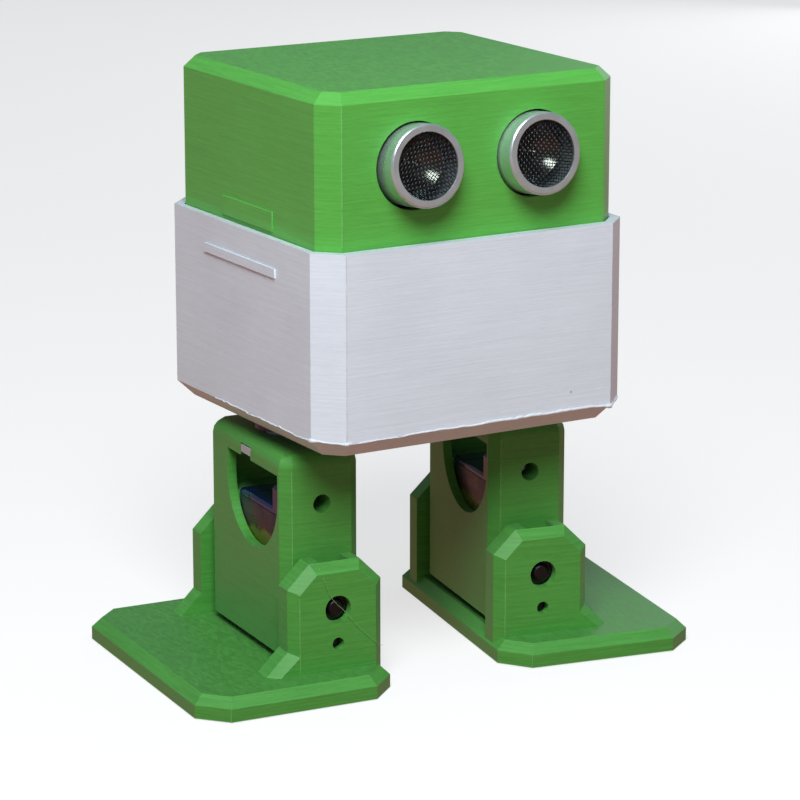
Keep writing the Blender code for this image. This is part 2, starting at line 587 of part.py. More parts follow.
def leg(side, base):
    """The leg shell, its ankle servo and the hip servo's output pieces."""
    leg_shell(side, base)
    hip = base @ place(0, 0, HIP_SERVO_FACE, "z", True)
    output_shaft(f"{side}_hip_shaft", hip)
    arm_top = HIP_SERVO_FACE - (HORN_SLOT_TOP - GAP) + HORN_ARM
    horn(f"{side}_hip_horn", "nylon", hip, LEG_HALF_X - 0.1 * MM, BOSS_HEIGHT + GAP, arm_top, 2.2 * MM)
    turned(f"{side}_hip_screw", screw_profile(2.0 * MM, 1.2 * MM, 0.65 * MM, 4.6 * MM), "steel",
           hip @ Matrix.Translation((0, 0, arm_top + GAP)), 16)
    ankle = base @ Matrix(((0, 1, 0, 0), (0, 0, -1, ANKLE_SERVO_FACE), (-1, 0, 0, ANKLE_Z), (0, 0, 0, 1)))
    servo(f"{side}_ankle_servo", ankle)
    flange_screws(f"{side}_ankle_servo_screw", ankle, True)
    turned(f"{side}_ankle_pivot", screw_profile(PIVOT_HEAD_R, 1.8 * MM, PIVOT_R, 8 * MM), "steel",
           base @ place(0, 22.9 * MM, ANKLE_Z, "y"), 24)
    return ankle


def ear(sign, mirror):
    """One upright of the foot, at the front (-1) or the back (+1)."""
    half, top = EAR_HALF_X, EAR_TOP
    foot = PLATE_TOP - 2 * MM
    outline = [(-half, PLATE_TOP + EAR_FLARE), (-half, top - EAR_CUT), (-half + EAR_CUT, top),
               (half - EAR_CUT, top), (half, top - EAR_CUT), (half, foot),
               (-half - EAR_FLARE, foot), (-half - EAR_FLARE, PLATE_TOP)]
    outline = [(x * mirror, z) for x, z in outline]
    low, high = sorted((sign * EAR_INNER, sign * EAR_OUTER))
    bm = prism(outline, low, high, "y")
    face = sign * EAR_OUTER

    def outer_edge(a, b):
        on_face = abs(a.y - face) < 1e-6 and abs(b.y - face) < 1e-6
        return on_face and max(a.z, b.z) > PLATE_TOP + 1e-6

    return chamfer(bm, EAR_CHAMFER, outer_edge)


def foot_shell(side, base):
    mirror = 1 if side == "right" else -1
    x_low, x_high = sorted((mirror * PLATE_OUTER, mirror * PLATE_INNER))
    plate = block((x_low, -PLATE_HALF_Y, 0), (x_high, PLATE_HALF_Y, PLATE_TOP))
    chamfer(plate, PLATE_CORNER, upright)
    chamfer(plate, PLATE_CHAMFER, at_height(PLATE_TOP))
    foot = add_mesh(f"{side}_foot_shell", plate, "green", base)
    add(foot, [ear(-1, mirror), ear(1, mirror)])
    cut(foot, [rod(GROOVE_R, (0, 0, ANKLE_Z), -EAR_INNER, EAR_INNER, "y", 72),
               block((-EAR_SLOT_HALF, -EAR_SLOT_BACK, EAR_SLOT_LOW),
                     (EAR_SLOT_HALF, -EAR_INNER + MM, EAR_TOP + MM)),
               rod(HORN_HUB_R + GAP, (0, 0, ANKLE_Z), -EAR_SLOT_BACK, -EAR_INNER + MM, "y"),
               rod(EAR_HOLE_R, (0, 0, ANKLE_Z), -EAR_OUTER - MM, -EAR_INNER, "y"),
               rod(EAR_SMALL_HOLE_R, (0, 0, EAR_SMALL_HOLE_Z), -EAR_OUTER - MM, -EAR_INNER, "y", 16),
               rod(PIVOT_R + GAP, (0, 0, ANKLE_Z), EAR_INNER - MM, EAR_OUTER + MM, "y", 24),
               rod(PIVOT_HEAD_R + GAP, (0, 0, ANKLE_Z), EAR_OUTER - 2.6 * MM, EAR_OUTER + MM, "y", 24)])


def foot(side, base, ankle):
    foot_shell(side, base)
    output_shaft(f"{side}_ankle_shaft", ankle)
    horn_back = EAR_SLOT_BACK + ANKLE_SERVO_FACE - GAP
    horn(f"{side}_ankle_horn", "black", ankle, 8.6 * MM, BOSS_HEIGHT + GAP, horn_back, 2.2 * MM)
    turned(f"{side}_ankle_horn_screw", screw_profile(1.9 * MM, 1.1 * MM, 0.65 * MM, 4.2 * MM), "steel",
           ankle @ Matrix.Translation((0, 0, horn_back + GAP)), 16)


def hip_servo(side):
    x, y, _ = HIPS[side]
    frame = Matrix.Translation((x, y, HIP_SERVO_FACE)) @ Matrix(((0, 1, 0, 0), (-1, 0, 0, 0), (0, 0, 1, 0),
                                                                (0, 0, 0, 1)))
    frame = frame @ Matrix.Rotation(math.pi, 4, "X")
    servo(f"{side}_hip_servo", frame)
    flange_screws(f"{side}_hip_servo_screw", frame, False)


head_shell()
sensor()
electronics()
body_shell()
power()
for robot_side, (hip_x, hip_y, yaw) in HIPS.items():
    hip_servo(robot_side)
    standing = Matrix.Translation((hip_x, hip_y, 0)) @ Matrix.Rotation(math.radians(yaw), 4, "Z")
    ankle_frame = leg(robot_side, standing)
    foot(robot_side, standing, ankle_frame)
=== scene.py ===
"""Looks for the two-legged walking robot: printed shells, sensor eyes, servos and boards on the CAD frame."""
import json
import math

import bmesh
import bpy
import mathutils
from mathutils import Matrix, Vector


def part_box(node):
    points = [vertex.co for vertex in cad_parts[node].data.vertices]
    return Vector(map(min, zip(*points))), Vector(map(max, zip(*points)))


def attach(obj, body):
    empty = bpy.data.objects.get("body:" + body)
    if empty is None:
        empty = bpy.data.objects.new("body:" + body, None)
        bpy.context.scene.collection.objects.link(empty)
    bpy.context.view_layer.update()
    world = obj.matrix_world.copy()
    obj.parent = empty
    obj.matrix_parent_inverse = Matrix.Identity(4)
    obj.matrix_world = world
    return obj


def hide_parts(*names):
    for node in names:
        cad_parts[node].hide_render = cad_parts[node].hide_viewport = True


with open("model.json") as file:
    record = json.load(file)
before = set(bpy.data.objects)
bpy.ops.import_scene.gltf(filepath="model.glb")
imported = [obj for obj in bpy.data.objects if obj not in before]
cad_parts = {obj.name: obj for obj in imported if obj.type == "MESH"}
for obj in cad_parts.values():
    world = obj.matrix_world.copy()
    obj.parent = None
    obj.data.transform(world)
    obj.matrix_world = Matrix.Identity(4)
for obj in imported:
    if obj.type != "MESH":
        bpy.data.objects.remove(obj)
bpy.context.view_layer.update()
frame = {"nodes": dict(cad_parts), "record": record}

MM = 0.001
NODES = frame["nodes"]
JOINTS = {joint["name"]: joint for joint in frame["record"]["behaviour"]["joints"]}


# ---------------------------------------------------------------- camera, light and floor

VIEW_AZIMUTH = math.radians(-30.36)
VIEW_ELEVATION = math.radians(14.45)
VIEW_DISTANCE = 0.6913
VIEW_TARGET = Vector((0.87, 1.04, 49.61)) * MM
LENS = 154.6
SENSOR = 36.0


def turn_to(back):
    """Rotation that points a camera or lamp along -back with its top up."""
    right = Vector((0, 0, 1)).cross(back).normalized()
    up = back.cross(right)
    return Matrix((right, up, back)).transposed().to_4x4()


def direction(azimuth, elevation):
    """Unit vector from the object towards a viewer at these angles; azimuth 0 is straight in front."""
    flat = math.cos(elevation)
    return Vector((math.sin(azimuth) * flat, -math.cos(azimuth) * flat, math.sin(elevation)))


def camera():
    data = bpy.data.cameras.new("camera")
    data.lens = LENS
    data.sensor_width = SENSOR
    data.clip_start = 0.01
    obj = bpy.data.objects.new("camera", data)
    bpy.context.scene.collection.objects.link(obj)
    back = direction(VIEW_AZIMUTH, VIEW_ELEVATION)
    obj.matrix_world = Matrix.Translation(VIEW_TARGET + back * VIEW_DISTANCE) @ turn_to(back)
    bpy.context.scene.camera = obj


def lamp(name, azimuth, elevation, distance, size, watts, colour, aim=(0, 0, 0.06)):
    data = bpy.data.lights.new(name, "AREA")
    data.shape = "DISK"
    data.size = size
    data.energy = watts
    data.color = colour
    obj = bpy.data.objects.new(name, data)
    bpy.context.scene.collection.objects.link(obj)
    back = direction(math.radians(azimuth), math.radians(elevation))
    obj.matrix_world = Matrix.Translation(Vector(aim) + back * distance) @ turn_to(back)


def surroundings():
    """A dim grey sky over a brighter, reddish ground, which tints the faces that look down."""
    world = bpy.data.worlds.new("studio")
    world.use_nodes = True
    nodes = world.node_tree
    split = node(nodes, "ShaderNodeSeparateXYZ")
    link(nodes, node(nodes, "ShaderNodeTexCoord").outputs["Generated"], split.inputs["Vector"])
    up = spread(nodes, split.outputs["Z"], -0.12, 0.06, 0.0, 1.0)
    colour = blend_colours(nodes, up, (0.41, 0.19, 0.15), (0.160, 0.175, 0.195))
    link(nodes, colour, nodes.nodes["Background"].inputs["Color"])
    bpy.context.scene.world = world


def pale_floor():
    """A floor that glows, and neither lights the object by bounce nor shows in its reflections."""
    bm = bmesh.new()
    bmesh.ops.create_grid(bm, x_segments=1, y_segments=1, size=6.0)
    mesh = bpy.data.meshes.new("floor")
    bm.to_mesh(mesh)
    bm.free()
    floor = bpy.data.objects.new("floor", mesh)
    bpy.context.scene.collection.objects.link(floor)
    floor.location.z = -0.0002
    floor.visible_diffuse = False
    floor.visible_glossy = False
    look = plain("pale_floor", (0.36, 0.36, 0.36), 0.9)
    shader = look.node_tree.nodes["Principled BSDF"]
    shader.inputs["Emission Color"].default_value = (1, 1, 1, 1)
    shader.inputs["Emission Strength"].default_value = 0.67
    shader.inputs["Specular IOR Level"].default_value = 0.0
    mesh.materials.append(look)


def studio():
    """A key light well above the camera, a faint fill from its left, and one from behind on its right."""
    bpy.context.scene.view_settings.view_transform = "Standard"
    surroundings()
    lamp("key", -33, 46, 0.68, 0.36, 5.1, (0.97, 1.01, 1.06), (0, 0, 0.1))
    lamp("left_fill", -95, 8, 0.8, 0.6, 0.11, (0.85, 1.0, 1.15), (0, 0, 0.07))
    lamp("back_fill", 125, 10, 0.9, 0.6, 1.3, (0.95, 1.0, 1.05), (0, 0, 0.07))
    pale_floor()


# ---------------------------------------------------------------- shader building

def tree(name):
    """A new material; returns it with its node tree and Principled shader."""
    mat = bpy.data.materials.new(name)
    mat.use_nodes = True
    nodes = mat.node_tree
    return mat, nodes, nodes.nodes["Principled BSDF"]


def plain(name, colour, roughness):
    mat, _, shader = tree(name)
    shader.inputs["Base Color"].default_value = (*colour, 1)
    shader.inputs["Roughness"].default_value = roughness
    return mat


def node(nodes, kind, **values):
    """Add a node; keyword values set its attributes, or its inputs when they are given as a dict."""
    made = nodes.nodes.new(kind)
    for key, value in values.items():
        if key == "inputs":
            for socket, amount in value.items():
                made.inputs[socket].default_value = amount
        else:
            setattr(made, key, value)
    return made


def link(nodes, source, target):
    nodes.links.new(source, target)


def mapped(nodes, scale, rotation=(0, 0, 0)):
    """Object coordinates stretched and turned."""
    coords = node(nodes, "ShaderNodeTexCoord")
    mapping = node(nodes, "ShaderNodeMapping", inputs={"Scale": scale, "Rotation": rotation})
    link(nodes, coords.outputs["Object"], mapping.inputs["Vector"])
    return mapping.outputs["Vector"]


def noise(nodes, vector, scale=1.0, detail=3.0, roughness=0.5):
    settings = {"Scale": scale, "Detail": detail, "Roughness": roughness}
    made = node(nodes, "ShaderNodeTexNoise", inputs=settings)
    link(nodes, vector, made.inputs["Vector"])
    return made.outputs["Fac"]


def spread(nodes, value, low, high, to_low, to_high):
    made = node(nodes, "ShaderNodeMapRange", inputs={"From Min": low, "From Max": high, "To Min": to_low,
                                                     "To Max": to_high})
    link(nodes, value, made.inputs["Value"])
    return made.outputs["Result"]


def maths(nodes, operation, a, b):
    made = node(nodes, "ShaderNodeMath", operation=operation)
    for index, value in enumerate((a, b)):
        if isinstance(value, (int, float)):
            made.inputs[index].default_value = value
        else:
            link(nodes, value, made.inputs[index])
    return made.outputs["Value"]


def blend_values(nodes, factor, a, b):
    made = node(nodes, "ShaderNodeMix", data_type="FLOAT")
    link(nodes, factor, made.inputs["Factor"])
    for socket, value in (("A", a), ("B", b)):
        target = [item for item in made.inputs if item.name == socket and item.type == "VALUE"][0]
        link(nodes, value, target)
    return [item for item in made.outputs if item.type == "VALUE"][0]


def blend_colours(nodes, factor, a, b, mode="MIX"):
    made = node(nodes, "ShaderNodeMix", data_type="RGBA", blend_type=mode)
    if isinstance(factor, (int, float)):
        made.inputs["Factor"].default_value = factor
    else:
        link(nodes, factor, made.inputs["Factor"])
    for socket, value in (("A", a), ("B", b)):
        target = [item for item in made.inputs if item.name == socket and item.type == "RGBA"][0]
        if isinstance(value, tuple):
            target.default_value = (*value, 1)
        else:
            link(nodes, value, target)
    return [item for item in made.outputs if item.type == "RGBA"][0]


def bump(nodes, shader, height, strength, distance):
    made = node(nodes, "ShaderNodeBump", inputs={"Strength": strength, "Distance": distance})
    link(nodes, height, made.inputs["Height"])
    link(nodes, made.outputs["Normal"], shader.inputs["Normal"])


# ---------------------------------------------------------------- materials

LAYER = 0.25 * MM                   # printed layer height
LEVEL_PAINTED_SHADE = 0.78                  # painted shade: tone of level faces against upright ones, fitted


def printed(name, colour, streaks=0.10, roughness=0.46, specks=False):
    """Printed plastic: horizontal layer lines on upright faces, diagonal raster lines on level ones, and
    painted shade darkening the level faces.
    """
    mat, nodes, shader = tree(name)
    layers = mapped(nodes, (70, 70, 0.7 / LAYER))
    long_streaks = noise(nodes, layers, 1.0, 3.0, 0.6)
    fine_streaks = noise(nodes, mapped(nodes, (500, 500, 1.3 / LAYER)), 1.0, 2.0, 0.5)
    side = maths(nodes, "ADD", maths(nodes, "MULTIPLY", long_streaks, 0.65),
                 maths(nodes, "MULTIPLY", fine_streaks, 0.35))
    raster = noise(nodes, mapped(nodes, (1500, 520, 520), (0, 0, math.radians(45))), 1.0, 2.0, 0.5)
    coords = node(nodes, "ShaderNodeTexCoord")
    split = node(nodes, "ShaderNodeSeparateXYZ")
    link(nodes, coords.outputs["Normal"], split.inputs["Vector"])
    level = spread(nodes, maths(nodes, "ABSOLUTE", split.outputs["Z"], 0.0), 0.85, 0.97, 0.0, 1.0)
    surface = blend_values(nodes, level, side, raster)
    broad = noise(nodes, mapped(nodes, (45, 45, 45)), 1.0, 3.0, 0.55)
    tone = maths(nodes, "ADD", spread(nodes, surface, 0.3, 0.7, 1 - streaks, 1 + streaks),
                 spread(nodes, broad, 0.3, 0.7, -0.035, 0.035))
    tinted = node(nodes, "ShaderNodeVectorMath", operation="SCALE")
    tinted.inputs[0].default_value = colour
    # Painted shade: faces that look up or down get a darker base colour than upright ones.
    level_painted_shade = spread(nodes, level, 0.0, 1.0, 1.0, LEVEL_PAINTED_SHADE)
    link(nodes, maths(nodes, "MULTIPLY", tone, level_painted_shade), tinted.inputs["Scale"])
    final = tinted.outputs["Vector"]
    if specks:
        cells = node(nodes, "ShaderNodeTexVoronoi", inputs={"Scale": 62.0, "Randomness": 1.0})
        link(nodes, mapped(nodes, (1, 1, 1)), cells.inputs["Vector"])
        spot = spread(nodes, cells.outputs["Distance"], 0.010, 0.022, 0.55, 0.0)
        final = blend_colours(nodes, spot, final, (0.22, 0.22, 0.24))
    link(nodes, final, shader.inputs["Base Color"])
    rough = spread(nodes, surface, 0.3, 0.7, roughness - 0.07, roughness + 0.07)
    link(nodes, rough, shader.inputs["Roughness"])
    shader.inputs["Specular IOR Level"].default_value = 0.45
    shader.inputs["Sheen Weight"].default_value = 0.09
    shader.inputs["Sheen Roughness"].default_value = 0.45
    bump(nodes, shader, surface, 0.75, 0.05 * MM)
    return mat


def metal(name, colour, roughness):
    """Bare metal with fine scratches."""
    mat, nodes, shader = tree(name)
    scratch = noise(nodes, mapped(nodes, (300, 300, 4000)), 1.0, 3.0, 0.6)
    broad = noise(nodes, mapped(nodes, (260, 260, 260)), 1.0, 3.0, 0.6)
    shade = maths(nodes, "ADD", spread(nodes, scratch, 0.3, 0.7, 0.93, 1.05),
                  spread(nodes, broad, 0.3, 0.7, -0.05, 0.05))
    tinted = node(nodes, "ShaderNodeVectorMath", operation="SCALE")
    tinted.inputs[0].default_value = colour
    link(nodes, shade, tinted.inputs["Scale"])
    link(nodes, tinted.outputs["Vector"], shader.inputs["Base Color"])
    link(nodes, spread(nodes, broad, 0.3, 0.7, roughness * 0.8, roughness * 1.25), shader.inputs["Roughness"])
    shader.inputs["Metallic"].default_value = 1.0
    bump(nodes, shader, scratch, 0.4, 0.01 * MM)
    return mat


def moulded(name, colour, roughness, coat=0.0):
    """Smooth moulded plastic, slightly uneven."""
    mat, nodes, shader = tree(name)
    fine = noise(nodes, mapped(nodes, (1400, 1400, 1400)), 1.0, 2.0, 0.5)
    broad = noise(nodes, mapped(nodes, (120, 120, 120)), 1.0, 3.0, 0.5)
    tinted = node(nodes, "ShaderNodeVectorMath", operation="SCALE")
    tinted.inputs[0].default_value = colour
    link(nodes, spread(nodes, broad, 0.3, 0.7, 0.88, 1.12), tinted.inputs["Scale"])
    link(nodes, tinted.outputs["Vector"], shader.inputs["Base Color"])
    link(nodes, spread(nodes, broad, 0.3, 0.7, roughness * 0.85, roughness * 1.2), shader.inputs["Roughness"])
    shader.inputs["Coat Weight"].default_value = coat
    bump(nodes, shader, fine, 0.25, 0.01 * MM)
    return mat


def build_materials():
    made = {
        "head_green": printed("head_green", (0.098, 0.455, 0.064), streaks=0.14),
        # The limbs' green is the head's green darkened by about a quarter: painted shade for the dimmer light
        # on the lower parts.
        "limb_green_painted_shade": printed("limb_green_painted_shade", (0.070, 0.325, 0.048), streaks=0.17),
        "body_white": printed("body_white", (0.73, 0.83, 0.89), streaks=0.06, roughness=0.50, specks=True),
        "sensor_mesh": metal("sensor_mesh", (0.060, 0.072, 0.080), 0.42),
        "sensor_cone": metal("sensor_cone", (0.18, 0.20, 0.165), 0.22),
        "circuit_board": moulded("circuit_board", (0.010, 0.055, 0.200), 0.35),
        "black_plastic": moulded("black_plastic", (0.018, 0.018, 0.020), 0.45),
        "steel": metal("steel", (0.60, 0.60, 0.61), 0.32),
        "brass": metal("brass", (0.76, 0.56, 0.26), 0.30),
        "nylon": moulded("nylon", (0.50, 0.49, 0.52), 0.42),
        "servo_case": moulded("servo_case", (0.005, 0.012, 0.075), 0.22, coat=0.3),
        "battery_wrap": moulded("battery_wrap", (0.05, 0.07, 0.16), 0.25),
        "black_screw": metal("black_screw", (0.035, 0.036, 0.038), 0.38),
        "white_bead": printed("white_bead", (0.70, 0.76, 0.80), streaks=0.05, roughness=0.45),
        "green_bead": printed("green_bead", (0.19, 0.60, 0.14), streaks=0.06, roughness=0.42),
        # The limbs' seam bead is darker than the head's in the same way: painted shade.
        "limb_bead_painted_shade": printed("limb_bead_painted_shade", (0.15, 0.46, 0.115), streaks=0.06, roughness=0.42),
        "strand": moulded("strand", (0.26, 0.52, 0.22), 0.45),
        "servo_label": label_look("servo_label", 23 * MM, 35 * MM),
    }
    for side in ("right", "left"):
        made[f"sensor_can_{side}"] = can_look(f"sensor_can_{side}", mouth(side), EYE_AXIS)
    return made


def away_from_axis(nodes, centre, axis):
    """Distance of a surface point from a line."""
    coords = node(nodes, "ShaderNodeTexCoord")
    offset = node(nodes, "ShaderNodeVectorMath", operation="SUBTRACT")
    link(nodes, coords.outputs["Object"], offset.inputs[0])
    offset.inputs[1].default_value = centre
    cross = node(nodes, "ShaderNodeVectorMath", operation="CROSS_PRODUCT")
    link(nodes, offset.outputs["Vector"], cross.inputs[0])
    cross.inputs[1].default_value = axis
    length = node(nodes, "ShaderNodeVectorMath", operation="LENGTH")
    link(nodes, cross.outputs["Vector"], length.inputs[0])
    return length.outputs["Value"]


def can_look(name, centre, axis):
    """Satin aluminium outside and on the rim; near-black inside the mouth."""
    mat, nodes, shader = tree(name)
    distance = away_from_axis(nodes, centre, axis)
    inside = spread(nodes, distance, 6.4 * MM, 6.6 * MM, 1.0, 0.0)
    grain = noise(nodes, mapped(nodes, (900, 900, 900)), 1.0, 3.0, 0.6)
    broad = noise(nodes, mapped(nodes, (210, 210, 210)), 1.0, 3.0, 0.6)
    tinted = node(nodes, "ShaderNodeVectorMath", operation="SCALE")
    tinted.inputs[0].default_value = (0.60, 0.70, 0.70)
    link(nodes, spread(nodes, broad, 0.3, 0.7, 0.90, 1.08), tinted.inputs["Scale"])
    link(nodes, blend_colours(nodes, inside, tinted.outputs["Vector"], (0.012, 0.013, 0.015)),
         shader.inputs["Base Color"])
    link(nodes, spread(nodes, inside, 0.0, 1.0, 0.72, 0.0), shader.inputs["Metallic"])
    link(nodes, spread(nodes, broad, 0.3, 0.7, 0.26, 0.40), shader.inputs["Roughness"])
    bump(nodes, shader, grain, 0.35, 0.012 * MM)
    return mat


def label_look(name, low, high):
    """A servo's foil label: dark blue turning purple, with a yellow-green foot."""
    mat, nodes, shader = tree(name)
    coords = node(nodes, "ShaderNodeTexCoord")
    split = node(nodes, "ShaderNodeSeparateXYZ")
    link(nodes, coords.outputs["Object"], split.inputs["Vector"])
    wave = noise(nodes, mapped(nodes, (260, 260, 260)), 1.0, 3.0, 0.6)
    height = maths(nodes, "ADD", split.outputs["Z"], spread(nodes, wave, 0.3, 0.7, -1.2 * MM, 1.2 * MM))
    ramp = node(nodes, "ShaderNodeValToRGB")
    link(nodes, spread(nodes, height, low, high, 0.0, 1.0), ramp.inputs["Fac"])
    stops = ((0.0, (0.05, 0.08, 0.006)), (0.34, (0.09, 0.14, 0.010)), (0.44, (0.030, 0.006, 0.018)),
             (0.60, (0.028, 0.005, 0.028)), (0.72, (0.006, 0.008, 0.030)), (1.0, (0.003, 0.007, 0.022)))
    for index, (place, colour) in enumerate(stops):
        stop = ramp.color_ramp.elements[index] if index < 2 else ramp.color_ramp.elements.new(place)
        stop.position = place
        stop.color = (*colour, 1)
    link(nodes, ramp.outputs["Color"], shader.inputs["Base Color"])
    link(nodes, spread(nodes, wave, 0.3, 0.7, 0.22, 0.45), shader.inputs["Roughness"])
    bump(nodes, shader, wave, 0.3, 0.02 * MM)
    return mat


# ---------------------------------------------------------------- helpers for extra pieces

def piece(name, bm, body, look, smooth=None):
    """Turn a bmesh into an object that rides on a body."""
    mesh = bpy.data.meshes.new(name)
    bm.to_mesh(mesh)
    bm.free()
    mesh.materials.append(look)
    if smooth is not None:
        mesh.shade_smooth()
        mesh.set_sharp_from_angle(angle=math.radians(smooth))
    obj = bpy.data.objects.new(name, mesh)
    bpy.context.scene.collection.objects.link(obj)
    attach(obj, body)
    return obj


def add_block(bm, low, high, matrix=None):
    """A box between two corners."""
    low, high = Vector(low), Vector(high)
    made = bmesh.ops.create_cube(bm, size=1.0)["verts"]
    centre, size = (low + high) / 2, high - low
    move = (matrix or Matrix()) @ Matrix.Translation(centre) @ Matrix.Diagonal((*size, 1))
    bmesh.ops.transform(bm, matrix=move, verts=made)


def add_rod(bm, centre, radius, low, high, sides=24):
    """An upright cylinder between two heights."""
    made = bmesh.ops.create_cone(bm, cap_ends=True, segments=sides, radius1=radius, radius2=radius,
                                 depth=high - low)["verts"]
    move = Matrix.Translation((centre[0], centre[1], (low + high) / 2))
    bmesh.ops.transform(bm, matrix=move, verts=made)


def add_tube(bm, points, radii, sides=6):
    """A tube through points, with a radius for each."""
    rings = []
    for index, point in enumerate(points):
        ahead = points[min(index + 1, len(points) - 1)] - points[max(index - 1, 0)]
        ahead.normalize()
        side = ahead.cross(Vector((0.13, 0.21, 0.97)))
        if side.length < 0.2:
            side = ahead.cross(Vector((0.96, 0.2, 0.1)))
        side.normalize()
        other = ahead.cross(side)
        radius = radii if isinstance(radii, float) else radii[index]
        ring = [bm.verts.new(point + (side * math.cos(a) + other * math.sin(a)) * radius)
                for a in (2 * math.pi * k / sides for k in range(sides))]
        rings.append(ring)
    for one, two in zip(rings, rings[1:]):
        for k in range(sides):
            bm.faces.new((one[k], one[(k + 1) % sides], two[(k + 1) % sides], two[k]))
    bm.faces.new(list(reversed(rings[0])))
    bm.faces.new(rings[-1])


def smooth_path(points, steps):
    """A smooth curve through points."""
    points = [Vector(p) for p in points]
    padded = [points[0] * 2 - points[1]] + points + [points[-1] * 2 - points[-2]]
    path = []
    for a, b, c, d in zip(padded, padded[1:], padded[2:], padded[3:]):
        for step in range(steps):
            t = step / steps
            path.append(0.5 * ((2 * b) + (c - a) * t + (2 * a - 5 * b + 4 * c - d) * t * t
                               + (3 * b - a - 3 * c + d) * t ** 3))
    path.append(points[-1])
    return path


# ---------------------------------------------------------------- CAD pieces

def soften(obj, width, segments=2):
    """Round the sharp edges of a CAD piece without touching its mesh."""
    weld = obj.modifiers.new("weld", "WELD")
    weld.merge_threshold = 0.00001
    flat = obj.modifiers.new("flat", "DECIMATE")
    flat.decimate_type = "DISSOLVE"
    flat.angle_limit = math.radians(0.6)
    edge = obj.modifiers.new("edge", "BEVEL")
    edge.width = width
    edge.segments = segments
    edge.limit_method = "ANGLE"
    edge.angle_limit = math.radians(28)
    edge.use_clamp_overlap = True
    normals = obj.modifiers.new("normals", "WEIGHTED_NORMAL")
    normals.keep_sharp = True
    obj.data.shade_smooth()


SHELLS = ("head_shell", "body_shell")
LIMBS = ("right_leg_shell", "left_leg_shell", "right_foot_shell", "left_foot_shell")


def dress_cad(looks):
    """Give every CAD node its finish, by the slot the record names for it, and soften its edges."""
    slots = {part["node"]: part["material_slot"] for part in frame["record"]["subparts"]}
    special = {"head_shell": "head_green", "body_shell": "body_white"}
    for side in ("right", "left"):
        special[f"{side}_ankle_horn_screw"] = "black_screw"
        special[f"sensor_can_{side}"] = f"sensor_can_{side}"
        special[f"{side}_ankle_pivot"] = "black_screw"
    for name, obj in NODES.items():
        look = special.get(name) or {"green_print": "limb_green_painted_shade"}.get(slots[name], slots[name])
        obj.data.materials.clear()
        obj.data.materials.append(looks[look])
        if name in LIMBS:
            soften(obj, 0.5 * MM, 3)
        else:
            soften(obj, 0.3 * MM if name in SHELLS else 0.12 * MM)


# ---------------------------------------------------------------- sensor eyes

EYE_TILT = math.radians(6)
EYE_AXIS = Vector((0, -math.cos(EYE_TILT), math.sin(EYE_TILT)))
EYE_ACROSS = Vector((1, 0, 0))
EYE_UP = EYE_AXIS.cross(EYE_ACROSS) * -1
CAN_LENGTH = 12 * MM
WEAVE_PITCH = 0.58 * MM
WEAVE_R = 7.0 * MM
WEAVE_DEPTH = 1.05 * MM             # from the can's mouth back to the mesh
WIRE_R = 0.08 * MM


def mouth(side):
    """Centre of a can's open end."""
    low, high = (Vector(corner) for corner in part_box(f"sensor_can_{side}"))
    return (low + high) / 2 + EYE_AXIS * (CAN_LENGTH / 2)


def woven_mesh(side, turn, look):
    """Two crossing sets of thin wires that pass over and under each other."""
    centre = mouth(side) - EYE_AXIS * WEAVE_DEPTH
    bm = bmesh.new()
    count = int(WEAVE_R / WEAVE_PITCH)
    for way in (0, 1):
        for line in range(-count, count + 1):
            offset = line * WEAVE_PITCH
            half = math.sqrt(max(WEAVE_R ** 2 - offset ** 2, 0))
            reach = int(half / (WEAVE_PITCH / 2))
            if reach < 2:
                continue
            points = []
            for step in range(-reach, reach + 1):
                along = step * WEAVE_PITCH / 2
                crossing = step % 2 == 0
                over = 1 if (step // 2 + line + way) % 2 else -1
                lift = over * WIRE_R * 0.95 if crossing else 0
                u, v = (along, offset) if way else (offset, along)
                flat_u = u * math.cos(turn) - v * math.sin(turn)
                flat_v = u * math.sin(turn) + v * math.cos(turn)
                points.append(centre + EYE_ACROSS * flat_u + EYE_UP * flat_v + EYE_AXIS * lift)
            add_tube(bm, points, WIRE_R, 4)
    mesh = piece(f"sensor_weave_{side}", bm, "head", look, 60)
    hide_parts(f"sensor_mesh_{side}")


DISH_BOTTOM = -4.4 * MM             # measured from the can's mouth
DISH_CURVE = 4.1 * MM               # radius of curvature of the dish
DISH_R = 4.3 * MM
PIN_R = 0.8 * MM


def polished_dish(side, look):
    """The transducer's small bright bowl and its domed centre pin."""
    centre = mouth(side)
    profile = [(0.05 * MM, DISH_BOTTOM + 0.9 * MM)]
    for step in range(1, 6):
        bend = math.radians(15 * step)
        profile.append((PIN_R * math.sin(bend), DISH_BOTTOM + 0.1 * MM + PIN_R * math.cos(bend)))
    profile.append((PIN_R, DISH_BOTTOM))
    for step in range(1, 15):
        radius = PIN_R + (DISH_R - PIN_R) * step / 14
        profile.append((radius, DISH_BOTTOM + radius ** 2 / (2 * DISH_CURVE)))
    profile += [(DISH_R + 0.2 * MM, profile[-1][1]), (DISH_R + 0.2 * MM, DISH_BOTTOM + 1.4 * MM)]
    bm = bmesh.new()
    sides = 48
    spokes = [EYE_ACROSS * math.cos(a) + EYE_UP * math.sin(a)
              for a in (2 * math.pi * k / sides for k in range(sides))]
    rings = [[bm.verts.new(centre + EYE_AXIS * depth + spoke * radius) for spoke in spokes]
             for radius, depth in profile]
    for inner, outer in zip(rings, rings[1:]):
        for k in range(sides):
            bm.faces.new((inner[k], outer[k], outer[(k + 1) % sides], inner[(k + 1) % sides]))
    bm.faces.new(rings[0])
    dish = piece(f"sensor_dish_{side}", bm, "head", look, 50)


# ---------------------------------------------------------------- marks of the printing

def seam(name, start, end, radius, body, look):
    """The slightly proud line where each printed layer starts."""
    bm = bmesh.new()
    start, end = Vector(start), Vector(end)
    steps = max(int((end - start).length / (0.5 * MM)), 4)
    points, radii = [], []
    for step in range(steps + 1):
        spot = start.lerp(end, step / steps)
        points.append(spot)
        radii.append(radius * (0.8 + 0.6 * mathutils.noise.noise(spot * 900)))
    add_tube(bm, points, radii, 6)
    obj = piece(name, bm, body, look, 80)


